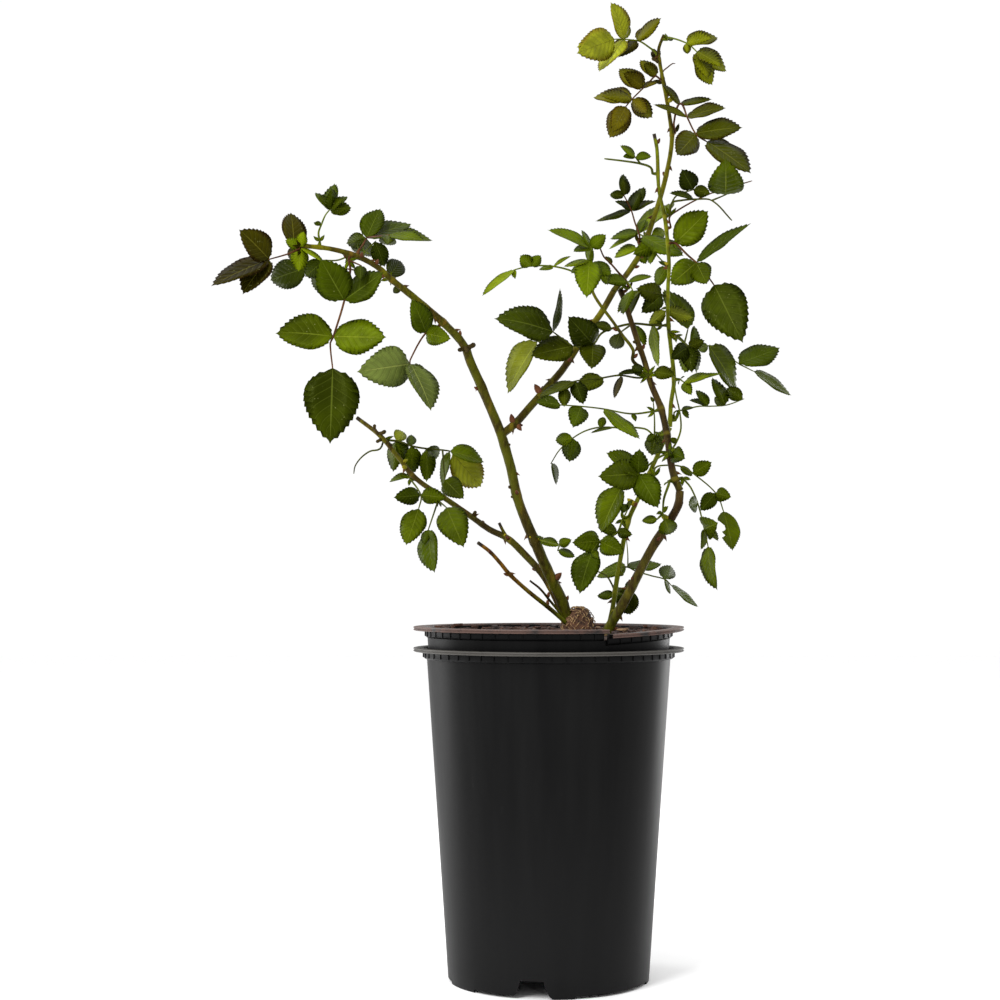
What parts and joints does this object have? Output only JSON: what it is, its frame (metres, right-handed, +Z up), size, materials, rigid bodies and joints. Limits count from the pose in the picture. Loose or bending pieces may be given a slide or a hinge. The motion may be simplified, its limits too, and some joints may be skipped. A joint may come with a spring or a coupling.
{
  "type": "potted rose bush",
  "caption": "Rose bush with thorny arching canes and sprays of toothed leaflets, growing in nested round nursery pots of bark mix.",
  "frame": {"origin": "centre of the outer pot's underside, on the ground", "axes": "+Z up along the pot, -Y towards the front of the plant, +X to the right seen from the front"},
  "size_m": [0.4681, 0.2788, 0.7943],
  "materials": {
    "pot_plastic": "satin",
    "potting_mix": "rough",
    "straw_bark": "rough",
    "green_cane": "satin",
    "brown_cane": "satin",
    "leaf_green": "satin",
    "leaf_dark": "satin",
    "leaf_fresh": "satin",
    "leaf_young": "satin"
  },
  "bodies": {
    "root": {"outer_pot": "pot_plastic", "inner_pot": "pot_plastic", "potting_mix": "potting_mix", "graft_knob": "straw_bark", "left_cane": "green_cane", "left_cane_upper": "green_cane", "cut_thin_cane": "green_cane", "middle_cane_upper": "green_cane", "straight_cane_lower": "green_cane", "straight_cane_upper": "green_cane", "forward_twig": "green_cane", "low_left_cane": "brown_cane", "low_left_stub": "brown_cane", "dead_twig": "brown_cane", "middle_cane_lower": "brown_cane", "right_cane_lower": "brown_cane", "right_cane_upper": "brown_cane", "left_tip_leaves": "leaf_young", "top_left_leaf": "leaf_young", "upper_left_leaf": "leaf_young", "upper_right_leaf": "leaf_young", "young_leaf": "leaf_young", "thin_right_twig": "leaf_young", "tip_twig": "leaf_young", "left_top_shoot": "leaf_fresh", "forward_twig_leaves": "leaf_fresh", "forward_twig_long_leaf": "leaf_fresh", "crown_leaves": "leaf_fresh", "right_narrow_leaves": "leaf_fresh", "left_long_leaf": "leaf_dark", "low_left_shoot": "leaf_dark", "arch_shoot": "leaf_dark", "inner_left_spray": "leaf_dark", "foot_leaves": "leaf_dark", "right_round_leaf": "leaf_dark", "centre_leaves": "leaf_dark", "left_hanging_leaf": "leaf_green", "left_upper_leaves": "leaf_green", "knuckle_leaf": "leaf_green", "low_left_leaf": "leaf_green", "low_left_long_leaf": "leaf_green", "right_reaching_leaves": "leaf_green", "second_left_spray": "leaf_green", "hub_leaves": "leaf_green", "lower_middle_leaf": "leaf_green", "crossing_leaf": "leaf_green", "right_hanging_leaf": "leaf_green", "elbow_shoot": "leaf_green", "low_leaf": "leaf_green", "node_leaf": "leaf_green", "low_right_leaf": "leaf_green", "top_right_leaf": "leaf_green", "short_twig_leaves": "leaf_green", "right_long_leaf": "leaf_green", "right_small_leaves": "leaf_green"}
  },
  "joints": []
}
